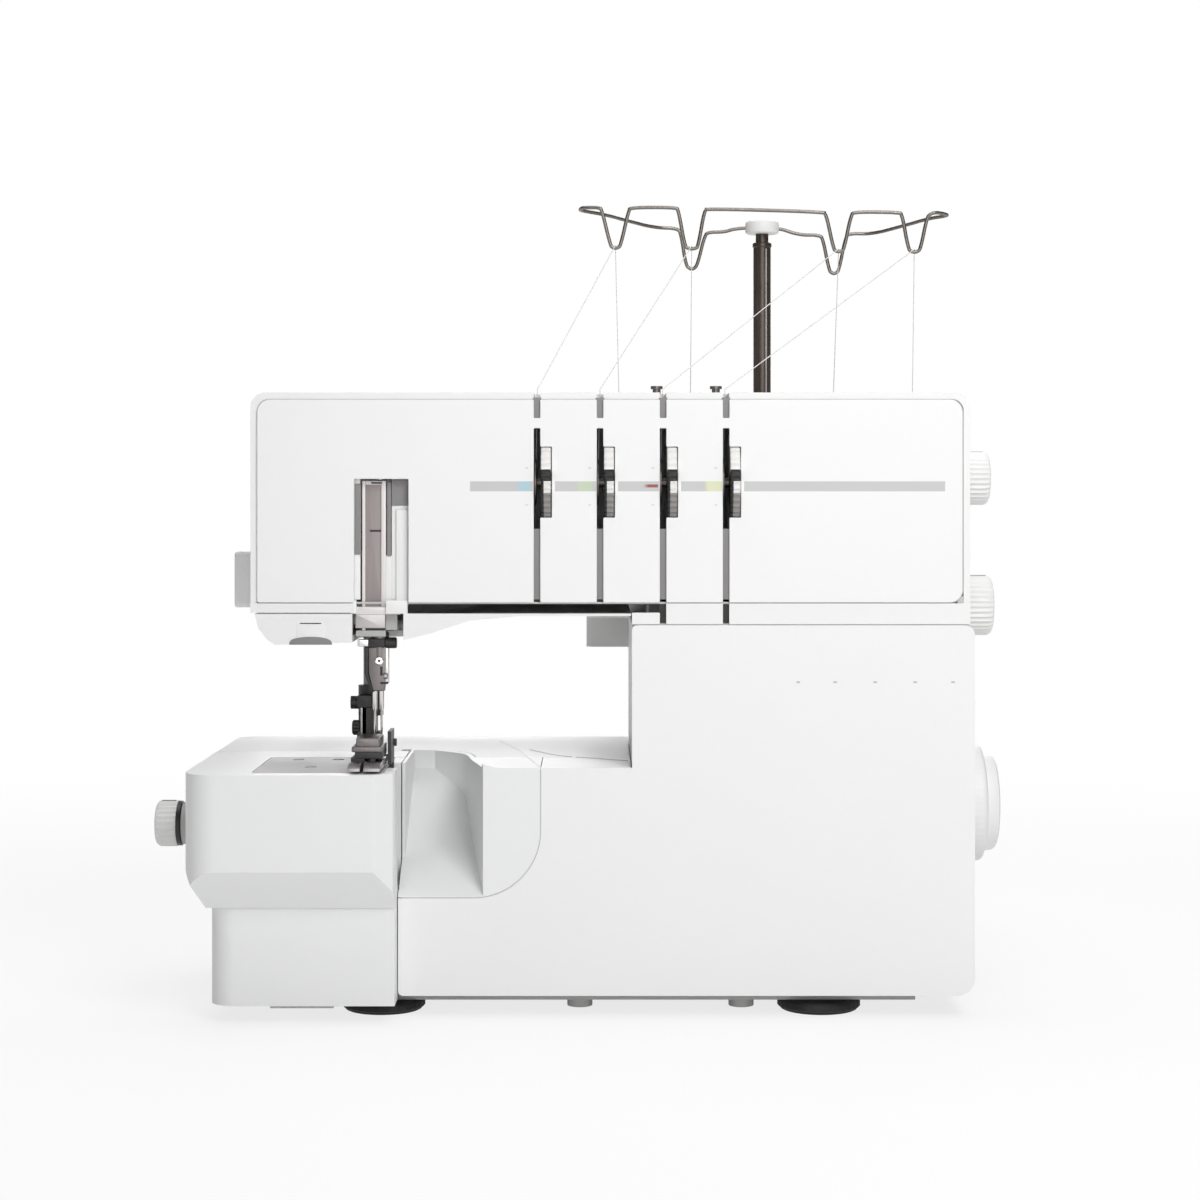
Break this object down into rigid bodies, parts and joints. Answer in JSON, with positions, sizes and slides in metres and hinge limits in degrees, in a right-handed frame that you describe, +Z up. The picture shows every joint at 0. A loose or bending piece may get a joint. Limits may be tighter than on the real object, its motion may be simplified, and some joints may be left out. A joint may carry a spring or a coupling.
{
  "type": "serger overlock machine",
  "caption": "White tabletop overlock sewing machine with a boxy head over a free arm, thread-slot front, hinged door, waste chute, rear spool stand and a wire thread guide mast.",
  "frame": {"origin": "middle of the footprint at floor level, under the feet", "axes": "+X to the right of a person who sews, along the head; +Y to the rear, towards the spool stand; +Z up; the front panel faces -Y"},
  "size_m": [0.354, 0.261, 0.3281],
  "materials": {
    "shell": "satin white moulding",
    "panel": "gloss white front moulding",
    "knob": "white ribbed grips",
    "stand": "light grey moulding",
    "base": "grey painted sheet",
    "rubber": "black rubber",
    "casting": "light alloy casting, as cast",
    "bronze": "sintered bronze",
    "steel": "ground steel",
    "chrome": "polished plating",
    "dark_steel": "dark plated steel",
    "plate": "satin plate",
    "inner": "grey brown moulding",
    "lens": "clear lens",
    "black_plastic": "black moulding",
    "thread": "white sewing thread",
    "holder": "grey inserts"
  },
  "bodies": {
    "machine": {"base_plate": "base", "rubber_feet": "rubber", "main_frame": "casting", "shaft_bushes": "bronze", "column_shell": "shell", "rear_cover": "shell", "head_shell": "shell", "front_panel": "panel", "chin_cover": "shell", "bed_shell": "shell", "free_arm_body": "shell", "needle_plate": "plate", "screws": "dark_steel", "face_plate": "inner", "recess_plate": "shell", "tension_units": "chrome", "lamp_lens": "lens", "thread_cutter": "knob", "motor": "dark_steel", "drive_belt": "rubber", "lower_knife": "dark_steel", "power_inlet": "black_plastic", "spool_stand": "stand", "cone_holders": "holder", "thread_cones": "thread", "pole_outer": "dark_steel", "hinge_rod": "steel", "presser_spring": "steel", "thread_1": "thread", "thread_2": "thread", "thread_3": "thread", "thread_4": "thread"},
    "drive": {"main_shaft": "steel", "handwheel": "knob"},
    "rotor": {"motor_rotor": "steel"},
    "needle_train": {"needle_bar": "chrome", "needle_clamp": "dark_steel", "needles": "chrome"},
    "needle_crank": {"arm_shaft": "steel"},
    "upper_looper_arm": {"upper_looper": "chrome"},
    "lower_looper_arm": {"lower_looper": "chrome"},
    "knife_slide": {"upper_knife": "dark_steel"},
    "feed": {"feed_dogs": "steel"},
    "presser": {"presser_bar": "chrome", "foot_holder": "dark_steel"},
    "foot": {"presser_foot": "chrome"},
    "lifter": {"lifter_lever": "dark_steel"},
    "dial_1": {"tension_dial_1": "knob"},
    "dial_2": {"tension_dial_2": "knob"},
    "dial_3": {"tension_dial_3": "knob"},
    "dial_4": {"tension_dial_4": "knob"},
    "length_dial": {"stitch_length_dial": "knob"},
    "feed_dial": {"differential_dial": "knob"},
    "width_knob": {"cutting_width_knob": "knob"},
    "mast": {"thread_mast": "dark_steel", "guide_wire": "dark_steel"},
    "door": {"front_cover": "panel", "scoop_panel": "panel"},
    "arm_cover": {"free_arm_cover": "panel"},
    "rocker": {"power_switch": "black_plastic"}
  },
  "joints": [
    {"name": "handwheel_turn", "type": "hinge", "parent": "machine", "child": "drive", "pos_m": [0, -0.0195, 0.074], "axis": [1, 0, 0], "continuous": true},
    {"name": "rotor_turn", "type": "hinge", "parent": "machine", "child": "rotor", "pos_m": [0.1, -0.0195, 0.128], "axis": [1, 0, 0], "continuous": true},
    {"name": "needle_stroke", "type": "slide", "parent": "machine", "child": "needle_train", "axis": [0, 0, 1], "range_m": [-0.027, 0]},
    {"name": "crank_swing", "type": "hinge", "parent": "machine", "child": "needle_crank", "pos_m": [-0.06, -0.0535, 0.1815], "axis": [1, 0, 0], "range_deg": [0, 39.46]},
    {"name": "upper_looper_swing", "type": "hinge", "parent": "machine", "child": "upper_looper_arm", "pos_m": [-0.082, -0.089, 0.03], "axis": [0, 1, 0], "range_deg": [-10.01, 0]},
    {"name": "lower_looper_swing", "type": "hinge", "parent": "machine", "child": "lower_looper_arm", "pos_m": [-0.082, -0.0974, 0.03], "axis": [0, 1, 0], "range_deg": [0, 10.01]},
    {"name": "knife_stroke", "type": "slide", "parent": "machine", "child": "knife_slide", "axis": [0, 0, 1], "range_m": [-0.00801, 0]},
    {"name": "feed_stroke", "type": "slide", "parent": "machine", "child": "feed", "axis": [0, 1, 0], "range_m": [0, 0.00301]},
    {"name": "presser_lift", "type": "slide", "parent": "machine", "child": "presser", "axis": [0, 0, 1], "range_m": [0, 0.00501], "deforming": ["presser_spring"]},
    {"name": "foot_tilt", "type": "hinge", "parent": "presser", "child": "foot", "pos_m": [-0.0817, -0.0845, 0.107], "axis": [-1, 0, 0], "range_deg": [0, 10]},
    {"name": "lifter_turn", "type": "hinge", "parent": "machine", "child": "lifter", "pos_m": [-0.0817, -0.0645, 0.176], "axis": [1, 0, 0], "range_deg": [0, 25]},
    {"name": "tension_dial_1_turn", "type": "hinge", "parent": "machine", "child": "dial_1", "pos_m": [-0.0111, -0.0905, 0.209], "axis": [1, 0, 0], "range_deg": [-150, 150]},
    {"name": "tension_dial_2_turn", "type": "hinge", "parent": "machine", "child": "dial_2", "pos_m": [0.0135, -0.0905, 0.209], "axis": [1, 0, 0], "range_deg": [-150, 150]},
    {"name": "tension_dial_3_turn", "type": "hinge", "parent": "machine", "child": "dial_3", "pos_m": [0.0381, -0.0905, 0.209], "axis": [1, 0, 0], "range_deg": [-150, 150]},
    {"name": "tension_dial_4_turn", "type": "hinge", "parent": "machine", "child": "dial_4", "pos_m": [0.0627, -0.0905, 0.209], "axis": [1, 0, 0], "range_deg": [-150, 150]},
    {"name": "stitch_length_turn", "type": "hinge", "parent": "machine", "child": "length_dial", "pos_m": [0.16, -0.0445, 0.1585], "axis": [1, 0, 0], "range_deg": [-120, 120]},
    {"name": "differential_turn", "type": "hinge", "parent": "machine", "child": "feed_dial", "pos_m": [0.16, -0.0445, 0.211], "axis": [1, 0, 0], "range_deg": [-90, 90]},
    {"name": "cutting_width_turn", "type": "hinge", "parent": "machine", "child": "width_knob", "pos_m": [-0.16, -0.0245, 0.0657], "axis": [1, 0, 0], "range_deg": [-180, 180]},
    {"name": "mast_slide", "type": "slide", "parent": "machine", "child": "mast", "axis": [0, 0, 1], "range_m": [0, 0.105], "deforming": ["thread_1", "thread_2", "thread_3", "thread_4"]},
    {"name": "door_hinge", "type": "hinge", "parent": "machine", "child": "door", "pos_m": [0.04, -0.098, 0.013], "axis": [1, 0, 0], "range_deg": [0, 80]},
    {"name": "arm_cover_slide", "type": "slide", "parent": "machine", "child": "arm_cover", "axis": [-1, 0, 0], "range_m": [0, 0.13]},
    {"name": "switch_rock", "type": "hinge", "parent": "machine", "child": "rocker", "pos_m": [0.1485, -0.0235, 0.032], "axis": [0, 0, 1], "range_deg": [0, 14]}
  ],
  "couplings": [
    {"joint": "rotor_turn", "follows": "handwheel_turn", "ratio": 2.75},
    {"joint": "crank_swing", "follows": "needle_stroke", "rad_per_m": -25.501},
    {"joint": "upper_looper_swing", "follows": "needle_stroke", "rad_per_m": 6.4642},
    {"joint": "lower_looper_swing", "follows": "needle_stroke", "rad_per_m": -6.4642},
    {"joint": "knife_stroke", "follows": "needle_stroke", "ratio": 0.2963},
    {"joint": "feed_stroke", "follows": "needle_stroke", "ratio": -0.11111},
    {"joint": "presser_lift", "follows": "lifter_turn", "m_per_rad": 0.011459}
  ]
}
